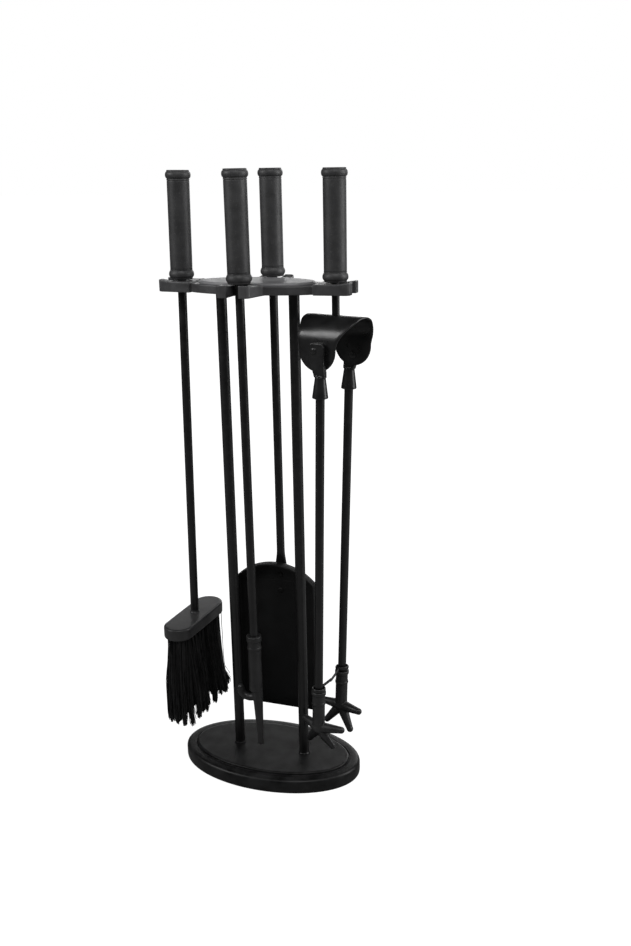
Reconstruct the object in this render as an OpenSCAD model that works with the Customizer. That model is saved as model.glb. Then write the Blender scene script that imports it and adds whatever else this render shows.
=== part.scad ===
// Fireplace tool set: a two-post stand with a four-way hanger, holding a brush,
// a poker, a shovel and a pair of spring tongs. Millimetres, +Z up, the origin
// is the centre of the base on the floor, and X runs along the base's long axis.

/* [Stand] */
// Height of the whole set, to the top of the grips
set_height = 762; // [700:1:820]
// Length of the oval base
base_length = 241; // [220:1:260]
// Width of the oval base
base_width = 142; // [132:1:156]
// Height of the base's outer flange
flange_height = 19; // [17:0.5:22]
// Width of the base's outer flange
flange_width = 14.5; // [10:0.5:18]
// Rise of the base's inner oval above its flange
inner_rise = 2.3; // [1:0.1:4]
// Diameter of the two posts
post_d = 12.8; // [12:0.1:13.2]
// Distance between the posts
post_spacing = 91.2; // [84:0.1:100]

/* [Hanger] */
// Distance from the stand's centre to the side tools
side_reach = 95.8; // [93:0.1:99]
// Distance from the stand's centre plane to the front and rear tools
front_reach = 43.5; // [43:0.1:47]
// How far the front and rear forks stand off the centre, in opposite directions
fork_stagger = 3.6; // [0:0.1:6]
// Depth of the cast forks
fork_height = 12; // [11:0.5:13]
// Width of the slot that a tool's rod hangs in
slot_width = 15; // [14:0.1:16]
// Width across the tips of a fork
fork_tip_width = 39; // [36:0.5:42]
// How much the fork tips rise above the fork's top
tip_rise = 2.2; // [1:0.1:2.6]
// Length of the oval cover on the hanger
cover_length = 144.8; // [138:0.1:148]
// Width of the oval cover on the hanger
cover_width = 75; // [72:0.1:75]

/* [Tools] */
// Length of a grip
grip_length = 124; // [115:1:135]
// Diameter of a grip
grip_d = 26.2; // [24:0.1:28]
// Diameter of the beads at the ends of a grip
bead_d = 29.8; // [28:0.1:31]
// Diameter of the brush, poker and shovel rods
rod_d = 10.4; // [9:0.1:11]
// How far the brush leans, in degrees
brush_lean = 1; // [0:0.1:1.2]
// How far the poker leans, in degrees
poker_lean = 0.2; // [0:0.05:1]

/* [Brush] */
// Length of the brush block
block_length = 115; // [100:1:120]
// Width of the brush block
block_width = 38; // [34:1:40]
// Thickness of the brush block
block_height = 15.5; // [14:0.5:18]
// Height of the block's top above the floor
block_top = 205; // [200:1:215]
// Height of the bristle tips above the floor
bristle_tip = 71; // [66:1:80]

/* [Shovel] */
// Width of the shovel pan
pan_width = 110; // [100:1:112]
// Height of the pan's lower edge above the floor
pan_bottom = 62; // [55:1:80]
// Height of the top of the pan's arch above the floor
pan_top = 272; // [255:1:280]
// Radius of the pan's arch
arch_r = 74; // [70:1:90]
// Depth of the pan's rim
pan_depth = 16; // [10:1:16]
// How far the pan is set to the left of its rod
pan_set = 5; // [0:0.5:6]

/* [Tongs] */
// How far the tongs are turned on their rod, in degrees
tongs_turn = -15.5; // [-18:0.5:-12]
// Width of the spring band at its crown
band_width = 78; // [70:1:80]
// Outer radius of the spring band's bend
band_r = 28; // [26:0.5:30]
// Diameter of the tongs' rod
tongs_rod_d = 9; // [8:0.1:10]
// Diameter of the two arms
arm_d = 10.6; // [9:0.1:11]
// How far the near arm leans towards the stand, in degrees
near_lean = 1.35; // [0:0.05:1.6]
// How far the far arm leans towards the stand, in degrees
far_lean = 2.05; // [0:0.05:2.2]

/* [Hidden] */
$fn = 64;

// Gap between parts that fit each other without play
fit_gap = 0.05;
// Gap between a hanging grip and what it rests on
rest_gap = 0.4;

// Levels of the hanger, from its top down
cover_top = set_height - grip_length - rest_gap;
cover_height = 3;
web_top = cover_top - cover_height;
fork_top = cover_top - 1.5;
fork_bottom = fork_top - fork_height;
web_bottom = fork_bottom + 0.5;

// Levels of the base
base_top = flange_height + inner_rise;
base_wall = 6;
base_skin = 7.3;

// Posts stand in a shallow socket at each end and are held by a bolt or a screw
socket_depth = 4;
post_low = base_top - socket_depth;
post_high = web_bottom + socket_depth;
bolt_r = 4;
tap_depth = 24;

// The band hangs below the hanger, with its crown near the top of the tongs
band_top = set_height - 162;
band_wall = 2;
band_foot = band_top - 62;
leg_y = band_r;
pivot_z = band_foot + 18;
tongue_wall = 6;
tongue_shift = 4;
tongue_top = band_top - 28.5;
rivet_r = 2.5;
// The rivets' places on the near and the far arm, seen from outside the near arm
near_rivet_place = [-7.5, band_foot + 25];
far_rivet_place = [7.5, band_foot + 13];
ferrule_top = band_foot - 4;
ferrule_foot = ferrule_top - 25;
claw_socket_top = 131;
claw_hub_z = 79;
arm_offset = -1.2;

// A tool's own levels, measured from the foot of its grip
collar_height = 12;
cap_height = 11.5;
rod_end = grip_length - cap_height - 1;

// The side grips rest on their forks, and the front and rear ones on the cover's rim
side_hang = fork_top + 1.2;
front_hang = cover_top + rest_gap;
block_z = block_top - side_hang;
block_shift = [0.8, -4];
poker_ring_z = 204.5 - front_hang;
hook_z = 129.5 - front_hang;

// The pan's sheet lies against the front of its rod's flattened palm
pan_wall = 1.6;
palm_wall = 5;
pan_back = -palm_wall / 2;
pan_rivet_r = 1.6;

// An oval plate: half-lengths a and b, height h
module oval(a, b, h) {
  linear_extrude(h) scale([1, b / a]) circle(a, $fn = 96);
}

// A hole or a pin along Z, from z0 to z1
module rod_z(r, z0, z1) {
  translate([0, 0, z0]) cylinder(r = r, h = z1 - z0);
}

// Both posts' places
module at_posts() {
  for (side = [-1, 1]) translate([side * post_spacing / 2, 0, 0]) children();
}

/* Stand */

module base() {
  a = base_length / 2;
  b = base_width / 2;
  color([0.10, 0.10, 0.105])
  difference() {
    union() {
      oval(a, b, flange_height);
      oval(a - flange_width, b - flange_width, base_top);
    }
    translate([0, 0, -1])
      oval(a - base_wall, b - base_wall, base_top - base_skin + 1);
    at_posts() {
      rod_z(post_d / 2 + fit_gap, post_low, base_top + 1);
      rod_z(bolt_r + fit_gap, 5, base_top + 1);
    }
  }
}

// Hex bolts that hold the posts from beneath the base
module base_bolts() {
  color([0.35, 0.35, 0.36])
  at_posts() {
    rod_z(bolt_r - fit_gap, base_top - base_skin - 2, post_low + 18);
    translate([0, 0, base_top - base_skin - 7.5]) cylinder(r = 7.5, h = 5.5, $fn = 6);
  }
}

module base_washers() {
  color([0.35, 0.35, 0.36])
  at_posts() difference() {
    rod_z(9.5, base_top - base_skin - 2, base_top - base_skin);
    rod_z(bolt_r + fit_gap, 0, base_top);
  }
}

module post(side) {
  color([0.06, 0.06, 0.065])
  translate([side * post_spacing / 2, 0, 0]) difference() {
    rod_z(post_d / 2, post_low, post_high);
    rod_z(bolt_r, post_low - 1, post_low + tap_depth);
    rod_z(bolt_r, post_high - tap_depth, post_high + 1);
  }
}

// One fork, pointing along +X, with the tool's rod at the origin.
// root is how far behind the rod it starts, and root_width is its width there.
module fork(root, root_width) {
  tip = 22;
  difference() {
    intersection() {
      translate([0, 0, fork_bottom - 1]) linear_extrude(fork_height + 6)
        polygon([
          [-root, -root_width / 2], [tip - 3, -fork_tip_width / 2], [tip, -fork_tip_width / 2 + 3],
          [tip, fork_tip_width / 2 - 3], [tip - 3, fork_tip_width / 2], [-root, root_width / 2]
        ]);
      rotate([90, 0, 0]) linear_extrude(2 * root_width, center = true)
        polygon([
          [-root - 1, fork_bottom], [tip + 1, fork_bottom],
          [tip + 1, fork_top + tip_rise], [8, fork_top], [-root - 1, fork_top]
        ]);
    }
    // The rod hangs against the closed end of the slot
    translate([slot_width / 2 - rod_d / 2 - 0.4, 0, fork_bottom - 1]) {
      cylinder(d = slot_width, h = fork_height + 8);
      translate([0, -slot_width / 2, 0]) cube([40, slot_width, fork_height + 8]);
    }
  }
}

// The cast cross: an oval web that carries four forks
module hanger() {
  color([0.13, 0.13, 0.135])
  difference() {
    union() {
      translate([0, 0, web_bottom]) oval(side_reach - 8, cover_width / 2 + 0.6, web_top - web_bottom);
      translate([side_reach, 0, 0]) fork(20, 46);
      translate([-side_reach, 0, 0]) rotate([0, 0, 180]) fork(20, 46);
      translate([-fork_stagger, -front_reach, 0]) rotate([0, 0, -90]) fork(16, 54);
      translate([fork_stagger, front_reach, 0]) rotate([0, 0, 90]) fork(16, 54);
    }
    translate([0, 0, web_top]) oval(cover_length / 2 + 0.2, cover_width / 2 + 0.2, 10);
    at_posts() {
      rod_z(post_d / 2 + fit_gap, web_bottom - 5, post_high);
      rod_z(bolt_r + fit_gap, web_bottom, web_top + 1);
      translate([0, 0, web_top - 4]) cylinder(r1 = bolt_r + fit_gap, r2 = 8.1, h = 4.001);
    }
  }
}

// Countersunk screws that hold the posts from above, under the cover
module hanger_screws() {
  color([0.35, 0.35, 0.36])
  at_posts() difference() {
    union() {
      rod_z(bolt_r - fit_gap, post_high - 18, web_top - 4);
      translate([0, 0, web_top - 4]) cylinder(r1 = bolt_r - fit_gap, r2 = 7.9, h = 3.9);
    }
    translate([0, 0, web_top - 3]) cylinder(r = 2.9, h = 4, $fn = 6);
  }
}

module hanger_cover() {
  a = cover_length / 2;
  b = cover_width / 2;
  color([0.2, 0.2, 0.205])
  translate([0, 0, web_top]) {
    oval(a, b, cover_height - 1);
    translate([0, 0, cover_height - 1]) oval(a - 1.5, b - 1.5, 1);
  }
}

/* Grips: a tube between a beaded top cap and a beaded collar.
   A tool is drawn with its rod on the Z axis and its grip's foot at z = 0. */

module grip_sleeve() {
  color([0.17, 0.17, 0.175])
  difference() {
    rod_z(grip_d / 2, collar_height, grip_length - cap_height);
    rod_z(grip_d / 2 - 2, 0, grip_length);
  }
}

module grip_top_cap() {
  color([0.17, 0.17, 0.175])
  translate([0, 0, grip_length - cap_height]) rotate_extrude()
    polygon([
      [0, -1], [rod_d / 2 + 3, -1], [rod_d / 2 + 3, -6], [grip_d / 2 - 2.1, -6],
      [grip_d / 2 - 2.1, 0], [grip_d / 2 + 0.4, 0], [grip_d / 2 + 0.4, 3.6],
      [bead_d / 2 - 0.5, 4.6], [bead_d / 2, 6.5], [bead_d / 2 - 0.5, 9],
      [bead_d / 2 - 1.3, 10.6], [grip_d / 2 - 0.6, cap_height], [0, cap_height]
    ]);
}

module grip_collar(rod = rod_d) {
  color([0.17, 0.17, 0.175])
  rotate_extrude()
    polygon([
      [rod / 2 + fit_gap, 0], [12.2, 0], [13.4, 1], [bead_d / 2 - 0.5, 3.4],
      [bead_d / 2, 6], [bead_d / 2 - 0.5, 8], [grip_d / 2 + 0.4, 9.4],
      [grip_d / 2 + 0.4, collar_height], [grip_d / 2 - 2.1, collar_height],
      [grip_d / 2 - 2.1, collar_height + 6], [rod / 2 + fit_gap, collar_height + 6]
    ]);
}

/* Where each tool hangs: children are drawn from the foot of the grip, z = 0 */

module hang_brush() {
  translate([-side_reach, 0, side_hang]) rotate([0, brush_lean, 0]) children();
}

module hang_poker() {
  translate([-fork_stagger, -front_reach, front_hang]) rotate([0, -poker_lean, 0]) children();
}

module hang_shovel() {
  translate([fork_stagger, front_reach, front_hang]) children();
}

// The tongs' own parts are drawn at their real heights
module turn_tongs() {
  translate([side_reach, 0, 0]) rotate([0, 0, tongs_turn]) children();
}

/* Brush */

module stadium(length, width, height) {
  gap = (length - width) / 2;
  linear_extrude(height) union() {
    for (end = [-1, 1]) translate([0, end * gap]) circle(d = width);
    square([width, 2 * gap], center = true);
  }
}

module brush_rod() {
  color([0.06, 0.06, 0.065]) rod_z(rod_d / 2, block_z - 10, rod_end);
}

// The block is fixed a little off its middle, and hangs slightly turned
module turn_block() {
  rotate([0, 0, -4.5]) translate(block_shift) children();
}

module brush_block() {
  color([0.16, 0.16, 0.165])
  turn_block() translate([0, 0, block_z - block_height]) difference() {
    stadium(block_length, block_width, block_height);
    translate([-block_shift[0], -block_shift[1], block_height - 10])
      cylinder(r = rod_d / 2 + fit_gap, h = 20);
  }
}

// The bundle fans out towards its tips, most of all at the far end
module brush_bristles() {
  tip_z = bristle_tip - side_hang;
  color([0.04, 0.04, 0.04])
  turn_block() hull() {
    translate([0, 0, block_z - block_height - 1]) stadium(block_length - 9, block_width - 9, 1);
    translate([2.5, 4, tip_z]) stadium(block_length + 13, block_width + 2, 8);
  }
}

/* Poker */

module poker_rod() {
  color([0.06, 0.06, 0.065]) rod_z(rod_d / 2, poker_ring_z - 25, rod_end);
}

// A socket with two ring beads, a tapering point and an upturned hook
module poker_head() {
  point_tip = 52.5 - front_hang;
  color([0.07, 0.07, 0.075])
  difference() {
    union() {
      rod_z(8.2, hook_z, poker_ring_z - 2);
      translate([0, 0, poker_ring_z - 7]) cylinder(r = 9.3, h = 7);
      translate([0, 0, poker_ring_z - 18]) cylinder(r = 8.9, h = 3);
      translate([2, 0, hook_z + 2]) rotate([0, 180, 0]) rotate([0, -1.5, 0])
        cylinder(r1 = 6.6, r2 = 3.3, h = hook_z + 2 - point_tip);
      translate([-9, 0, hook_z]) rotate([90, 0, 0]) rotate([0, 0, 180])
        rotate_extrude(angle = 180) translate([12, 0]) circle(r = 4.6);
      translate([-21, 0, hook_z]) sphere(r = 4.5);
    }
    rod_z(rod_d / 2 + fit_gap, poker_ring_z - 25, poker_ring_z + 1);
  }
}

/* Shovel */

// The pan's outline seen from the front, drawn smaller by inset
module pan_outline(inset) {
  low = pan_bottom - front_hang;
  high = pan_top - front_hang;
  half = pan_width / 2 - inset;
  intersection() {
    union() {
      translate([0, high - arch_r]) circle(r = arch_r - inset, $fn = 128);
      translate([-half, low]) square([2 * half, high - arch_r - low]);
    }
    translate([-half, low]) square([2 * half, high - low]);
  }
}

// Stands a drawing up behind the XZ plane, from y back to y front
module upright(back, front) {
  translate([-pan_set, back, 0]) rotate([90, 0, 0]) linear_extrude(back - front) children();
}

// The rod is flattened into a palm that reaches from just above the pan down its back
module shovel_rod() {
  palm_top = pan_top - front_hang + 5;
  palm_length = 59;
  palm_width = 16;
  color([0.06, 0.06, 0.065]) {
    rod_z(rod_d / 2, palm_top - 3, rod_end);
    difference() {
      translate([-palm_width / 2, -palm_wall / 2, palm_top - palm_length])
        cube([palm_width, palm_wall, palm_length]);
      shovel_rivet_holes(pan_rivet_r);
    }
  }
}

module shovel_rivet_holes(r) {
  for (drop = [18, 40]) translate([0, 0, pan_top - front_hang - drop]) rotate([90, 0, 0])
    cylinder(r = r, h = 40, center = true);
}

module shovel_pan() {
  color([0.05, 0.05, 0.05]) difference() {
    union() {
      upright(pan_back, pan_back - pan_wall) pan_outline(0);
      upright(pan_back, pan_back - pan_depth) difference() {
        pan_outline(0);
        pan_outline(pan_wall);
        translate([-100, pan_bottom - front_hang - 1]) square([200, 3]);
      }
    }
    shovel_rivet_holes(pan_rivet_r);
  }
}

module shovel_rivets() {
  color([0.06, 0.06, 0.065])
  for (drop = [18, 40]) translate([0, 0, pan_top - front_hang - drop]) rotate([90, 0, 0]) {
    cylinder(r = pan_rivet_r - 0.02, h = palm_wall + pan_wall + 2, center = true);
    translate([0, 0, palm_wall / 2 + pan_wall]) cylinder(r1 = 3.6, r2 = 2, h = 1.6);
    translate([0, 0, -palm_wall / 2 - 1.6]) cylinder(r1 = 2, r2 = 3.6, h = 1.6);
  }
}

/* Tongs, drawn in world heights, with their rod on the Z axis and the arms along Y */

// Lifts the tongs' grip from z = 0 to its real height
module raise_grip() {
  translate([0, 0, side_hang]) children();
}

module tongs_rod() {
  color([0.06, 0.06, 0.065])
  rod_z(tongs_rod_d / 2, band_top - 12, side_hang + rod_end);
}

// Outline of one leg of the sprung band seen from the side: the crown is wide, and the
// round foot is set aside by shift, to the left on the near leg and to the right on the far
module leg_outline(shift) {
  lobe = 25;
  translate([-shift, band_foot + lobe]) circle(r = lobe);
  polygon([
    [-band_width / 2, band_top + 1], [band_width / 2, band_top + 1], [35, band_top - 6],
    [26, band_top - 16], [lobe - shift, band_foot + lobe], [-lobe - shift, band_foot + lobe],
    [-lobe - shift, band_top - 14], [1 - band_width / 2, band_top - 4]
  ]);
}

module bend(r) {
  rotate([90, 0, 90]) linear_extrude(2 * band_width, center = true) union() {
    translate([0, band_top - band_r]) circle(r = r, $fn = 96);
    translate([-r, band_foot - 5]) square([2 * r, band_top - band_r - band_foot + 5]);
  }
}

module tongs_band() {
  color([0.12, 0.12, 0.125]) difference() {
    intersection() {
      difference() {
        bend(band_r);
        bend(band_r - band_wall);
      }
      union() {
        rotate([90, 0, 0]) linear_extrude(2 * band_r) leg_outline(8.5);
        rotate([90, 0, 180]) linear_extrude(2 * band_r) leg_outline(5.5);
      }
    }
    rod_z(tongs_rod_d / 2 + fit_gap, band_top - 20, band_top + 10);
    for (side = [-1, 1]) on_rivet(side) cylinder(r = rivet_r + fit_gap, h = 20, center = true);
  }
}

// The nut inside the crown that holds the band on the rod
module tongs_nut() {
  color([0.1, 0.1, 0.105]) difference() {
    translate([0, 0, band_top - band_wall - 9.5]) cylinder(r = 8, h = 8, $fn = 6);
    rod_z(tongs_rod_d / 2 + fit_gap, band_top - 30, band_top);
  }
}

function rivet_place(side) = side > 0 ? far_rivet_place : near_rivet_place;

// Leans an arm along the band, about a level near its rivet.
// The near arm lies at -Y, and the far arm is its mirror image.
module on_arm(side) {
  lean = side > 0 ? far_lean : near_lean;
  translate([arm_offset, side * leg_y, pivot_z]) rotate([0, lean, 0])
    translate([0, 0, -pivot_z]) children();
}

// The same, with the children on the axis of the arm's rivet and +Z away from the band
module on_rivet(side) {
  place = rivet_place(side);
  on_arm(side) translate([place[0], 0, place[1]]) rotate([-90 * side, 0, 0]) children();
}

// The same, with the children on the middle line of the arm's rod
module on_rod(side) {
  on_arm(side) translate([0, side * (tongue_wall / 2 + 0.1), 0]) children();
}

// Outline of an arm's flat end: square shoulders that narrow to the ferrule
module tongue_outline(side) {
  half = 9.5;
  corner = 4;
  middle = side * tongue_shift;
  foot = pivot_z - 2;
  for (way = [-1, 1]) translate([middle + way * (half - corner), tongue_top - corner])
    circle(r = corner);
  translate([middle - half + corner, tongue_top - corner]) square([2 * (half - corner), corner]);
  translate([middle - half, foot]) square([2 * half, tongue_top - corner - foot]);
  polygon([
    [middle - half, foot], [-7, ferrule_top - 1], [7, ferrule_top - 1], [middle + half, foot]
  ]);
}

// The flat end of an arm, riveted outside the band, above a conical ferrule
module tongue(side) {
  color([0.12, 0.12, 0.125]) difference() {
    on_rod(side) {
      rotate([90, 0, 0]) linear_extrude(tongue_wall, center = true) tongue_outline(side);
      translate([0, 0, ferrule_foot])
        cylinder(r1 = 9.3, r2 = 6, h = ferrule_top - ferrule_foot);
    }
    on_rivet(side) cylinder(r = rivet_r + fit_gap, h = 30, center = true);
    on_rod(side) rod_z(arm_d / 2 + fit_gap, ferrule_foot - 1, ferrule_top - 6);
  }
}

module arm_rivet(side) {
  head = 1.7;
  outside = tongue_wall + 0.15;
  inside = -band_wall - 0.1;
  color([0.12, 0.12, 0.125]) on_rivet(side) {
    translate([0, 0, inside]) cylinder(r = rivet_r, h = outside - inside);
    translate([0, 0, outside]) cylinder(r1 = 4.2, r2 = 2.4, h = head);
    translate([0, 0, inside - head]) cylinder(r1 = 2.4, r2 = 4.2, h = head);
  }
}

module arm_rod(side) {
  color([0.06, 0.06, 0.065])
  on_rod(side) rod_z(arm_d / 2, claw_socket_top - 22, ferrule_top - 6.2);
}

// A socket that opens into a star of four fingers, which turn in to the other claw.
// Each finger is given as its angle from the socket and its reach.
module claw(side) {
  fingers = side > 0
    ? [[84, 31.5], [146, 33.5], [216, 31], [276, 25]]
    : [[84, 31.5], [144, 30], [216, 30], [276, 25]];
  turn_in = 6;
  color([0.08, 0.08, 0.085]) on_rod(side) difference() {
    union() {
      rod_z(7.6, claw_hub_z - 4, claw_socket_top - 1);
      rod_z(8.9, claw_socket_top - 4.5, claw_socket_top);
      rod_z(8.4, claw_socket_top - 18, claw_socket_top - 15.5);
      translate([0, 0, claw_hub_z]) sphere(r = 8.6);
      for (finger = fingers) translate([0, 0, claw_hub_z]) rotate([0, finger[0], 0])
        rotate([side * atan(turn_in / finger[1]), 0, 0]) {
          cylinder(r1 = 7.2, r2 = 3.9, h = finger[1]);
          translate([0, 0, finger[1] - 0.3]) sphere(r = 4.1);
        }
    }
    rod_z(arm_d / 2 + fit_gap, claw_socket_top - 22, claw_socket_top + 1);
  }
}

// A wire tie that keeps the two arms from springing apart: a ring round each arm and a link
module claw_tie() {
  ring_r = 7.9;
  wire_r = 2;
  ring_z = claw_socket_top + wire_r + 0.3;
  lean = (near_lean + far_lean) / 2;
  link_x = arm_offset - (pivot_z - ring_z) * sin(lean);
  skew = (pivot_z - ring_z) * (sin(far_lean) - sin(near_lean)) / 2;
  reach = leg_y + tongue_wall / 2;
  color([0.05, 0.05, 0.05]) {
    for (side = [-1, 1]) on_rod(side) translate([0, 0, ring_z])
      rotate_extrude() translate([ring_r, 0]) circle(r = wire_r, $fn = 24);
    translate([link_x, 0, ring_z]) rotate([0, 0, atan(skew / reach)]) rotate([90, 0, 0])
      cylinder(r = wire_r, h = 2 * (reach - ring_r), center = true, $fn = 24);
  }
}

base();
base_bolts();
base_washers();
post(-1);  // left_post
post(1);  // right_post
hanger();
hanger_screws();
hanger_cover();
hang_brush() grip_sleeve();  // brush_sleeve
hang_brush() grip_top_cap();  // brush_top_cap
hang_brush() grip_collar();  // brush_collar
hang_brush() brush_rod();
hang_brush() brush_block();
hang_brush() brush_bristles();
hang_poker() grip_sleeve();  // poker_sleeve
hang_poker() grip_top_cap();  // poker_top_cap
hang_poker() grip_collar();  // poker_collar
hang_poker() poker_rod();
hang_poker() poker_head();
hang_shovel() grip_sleeve();  // shovel_sleeve
hang_shovel() grip_top_cap();  // shovel_top_cap
hang_shovel() grip_collar();  // shovel_collar
hang_shovel() shovel_rod();
hang_shovel() shovel_pan();
hang_shovel() shovel_rivets();
turn_tongs() raise_grip() grip_sleeve();  // tongs_sleeve
turn_tongs() raise_grip() grip_top_cap();  // tongs_top_cap
turn_tongs() raise_grip() grip_collar(tongs_rod_d);  // tongs_collar
turn_tongs() tongs_rod();
turn_tongs() tongs_band();
turn_tongs() tongs_nut();
turn_tongs() tongue(-1);  // near_tongue
turn_tongs() arm_rivet(-1);  // near_rivet
turn_tongs() arm_rod(-1);  // near_rod
turn_tongs() claw(-1);  // near_claw
turn_tongs() tongue(1);  // far_tongue
turn_tongs() arm_rivet(1);  // far_rivet
turn_tongs() arm_rod(1);  // far_rod
turn_tongs() claw(1);  // far_claw
turn_tongs() claw_tie();
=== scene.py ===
"""Fireplace tool set: a black stand with a brush, a poker, a shovel and spring tongs.

Lengths are in millimetres, and become metres when a mesh is made. A tool is drawn in
axes of its own, with +Z up along its rod and z = 0 at the foot of its grip. The tongs'
band and arms are drawn at their real heights.
"""

import math
import random

import bmesh
import bpy
import numpy as np
from mathutils import Matrix, Vector


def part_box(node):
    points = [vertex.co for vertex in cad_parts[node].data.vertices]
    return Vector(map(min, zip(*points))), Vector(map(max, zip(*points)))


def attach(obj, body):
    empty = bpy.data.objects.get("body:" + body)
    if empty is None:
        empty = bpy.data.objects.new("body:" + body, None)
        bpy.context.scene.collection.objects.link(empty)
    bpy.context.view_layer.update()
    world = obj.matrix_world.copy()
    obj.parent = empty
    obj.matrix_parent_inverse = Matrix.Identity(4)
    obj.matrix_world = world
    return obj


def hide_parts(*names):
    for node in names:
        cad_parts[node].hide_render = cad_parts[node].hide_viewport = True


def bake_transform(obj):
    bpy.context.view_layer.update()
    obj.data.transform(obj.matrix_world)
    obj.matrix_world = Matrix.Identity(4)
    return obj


MM = 0.001
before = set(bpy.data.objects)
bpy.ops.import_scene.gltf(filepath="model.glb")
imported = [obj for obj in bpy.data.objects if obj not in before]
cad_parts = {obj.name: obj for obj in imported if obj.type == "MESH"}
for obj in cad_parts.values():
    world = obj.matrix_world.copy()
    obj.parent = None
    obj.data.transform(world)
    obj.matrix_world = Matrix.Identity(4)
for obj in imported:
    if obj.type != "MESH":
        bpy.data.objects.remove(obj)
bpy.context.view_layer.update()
random.seed(7)

# The same values as in part.scad
# SIDE_HANG and FRONT_HANG are the heights of the grips' feet above the floor
SIDE_HANG = 637.3
FRONT_HANG = 638
GRIP_LENGTH = 124
GRIP_R = 13.1
BEAD_R = 14.9
SLEEVE_LOW = 12
SLEEVE_HIGH = 112.5
ROD_R = 5.2
TONGS_ROD_R = 4.5
TONGS_ROD_TOP = 724
ARM_R = 5.3
BRUSH_LEAN = 1.0
POKER_LEAN = -0.2
TONGS_TURN = -15.5
BLOCK_TURN = -4.5
BLOCK_SHIFT = (0.8, -4)
BLOCK_LENGTH = 115
BLOCK_WIDTH = 38
BLOCK_HEIGHT = 15.5
BLOCK_TOP = 205 - SIDE_HANG
BRISTLE_TIP = 71 - SIDE_HANG
POKER_RING = 204.5 - FRONT_HANG
PAN_LOW = 62 - FRONT_HANG
PAN_HIGH = 272 - FRONT_HANG
PAN_HALF = 55
PAN_ARCH_R = 74
PAN_SHIFT = -5
PAN_BACK = -2.5
PAN_WALL = 1.6
PAN_DEPTH = 16
BAND_TOP = 600
BAND_R = 28
BAND_WALL = 2
BAND_FOOT = 538
BAND_LOBE = 25
TONGUE_WALL = 6
PIVOT_Z = 556
RIVET_PLACE = {-1: (-7.5, 563), 1: (7.5, 551)}
ARM_OFFSET = -1.2
ARM_OUT = 3.1
ARM_LEAN = {-1: 1.35, 1: 2.05}
LOBE_SHIFT = {-1: 8.5, 1: 5.5}
SOCKET_TOP = 131
SIDES = {-1: "near", 1: "far"}


def turned(degrees, axis):
    return Matrix.Rotation(math.radians(degrees), 4, axis)


def moved(x, y, z):
    return Matrix.Translation(Vector((x, y, z)) * MM)


def tool_axes(tool, turn=Matrix.Identity(4)):
    """The axes of a tool, found from the middle of its grip's sleeve."""
    low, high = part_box(tool + "_sleeve")
    return Matrix.Translation((low + high) / 2) @ turn @ moved(0, 0, -(SLEEVE_LOW + SLEEVE_HIGH) / 2)


WORLD = Matrix.Identity(4)
TOOLS = {
    "brush": tool_axes("brush", turned(BRUSH_LEAN, "Y")),
    "poker": tool_axes("poker", turned(POKER_LEAN, "Y")),
    "shovel": tool_axes("shovel"),
    "tongs": tool_axes("tongs", turned(TONGS_TURN, "Z")),
}
TONGS_X = sum(corner.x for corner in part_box("tongs_rod")) / 2 / MM
TONGS = moved(TONGS_X, 0, 0) @ turned(TONGS_TURN, "Z")


def arm_axes(side, out=ARM_OUT):
    """The axes of an arm of the tongs at real heights, out from the band's leg."""
    pivot = moved(ARM_OFFSET, side * BAND_R, PIVOT_Z)
    return TONGS @ pivot @ turned(ARM_LEAN[side], "Y") @ moved(0, side * out, -PIVOT_Z)


# ---------------------------------------------------------------- camera and stage

CAMERA_PLACE = Vector((440.79, -1089.36, 760.23)) * MM
CAMERA_RIGHT = Vector((0.94762, 0.31899, -0.01636))
CAMERA_UP = Vector((-0.07819, 0.28133, 0.95642))
CAMERA_BACK = Vector((0.30969, -0.90504, 0.29154))


def make_camera():
    data = bpy.data.cameras.new("camera")
    data.lens = 38.016
    data.sensor_width = 36
    data.clip_start = 0.01
    camera = bpy.data.objects.new("camera", data)
    bpy.context.scene.collection.objects.link(camera)
    axes = Matrix((CAMERA_RIGHT, CAMERA_UP, CAMERA_BACK)).transposed()
    camera.matrix_world = Matrix.LocRotScale(CAMERA_PLACE, axes.to_quaternion(), None)
    bpy.context.scene.camera = camera


def area_light(name, place, target, size, power):
    data = bpy.data.lights.new(name, "AREA")
    data.shape = "RECTANGLE"
    data.size, data.size_y = size
    data.energy = power
    light = bpy.data.objects.new(name, data)
    bpy.context.scene.collection.objects.link(light)
    light.location = place
    light.rotation_euler = (Vector(target) - Vector(place)).to_track_quat("-Z", "Y").to_euler()


def ramp(tree, value, low, high, out_low, out_high):
    """A value's range from low to high, as the range from out_low to out_high."""
    node = tree.nodes.new("ShaderNodeMapRange")
    ends = {"From Min": low, "From Max": high, "To Min": out_low, "To Max": out_high}
    for name, number in ends.items():
        node.inputs[name].default_value = number
    tree.links.new(value, node.inputs["Value"])
    return node.outputs["Result"]


def camera_ray_mix(tree, seen, unseen):
    """A number that is seen where the camera looks straight at it, and unseen elsewhere."""
    path = tree.nodes.new("ShaderNodeLightPath")
    mix = tree.nodes.new("ShaderNodeMix")
    mix.inputs["A"].default_value = unseen
    mix.inputs["B"].default_value = seen
    tree.links.new(path.outputs["Is Camera Ray"], mix.inputs["Factor"])
    return mix.outputs["Result"]


def make_world():
    """White where the camera sees it, and nearly dark as a light."""
    world = bpy.data.worlds.new("studio")
    world.use_nodes = True
    bpy.context.scene.world = world
    background = world.node_tree.nodes["Background"]
    background.inputs["Color"].default_value = (1, 1, 1, 1)
    strength = camera_ray_mix(world.node_tree, 1.0, 0.05)
    world.node_tree.links.new(strength, background.inputs["Strength"])


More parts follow.
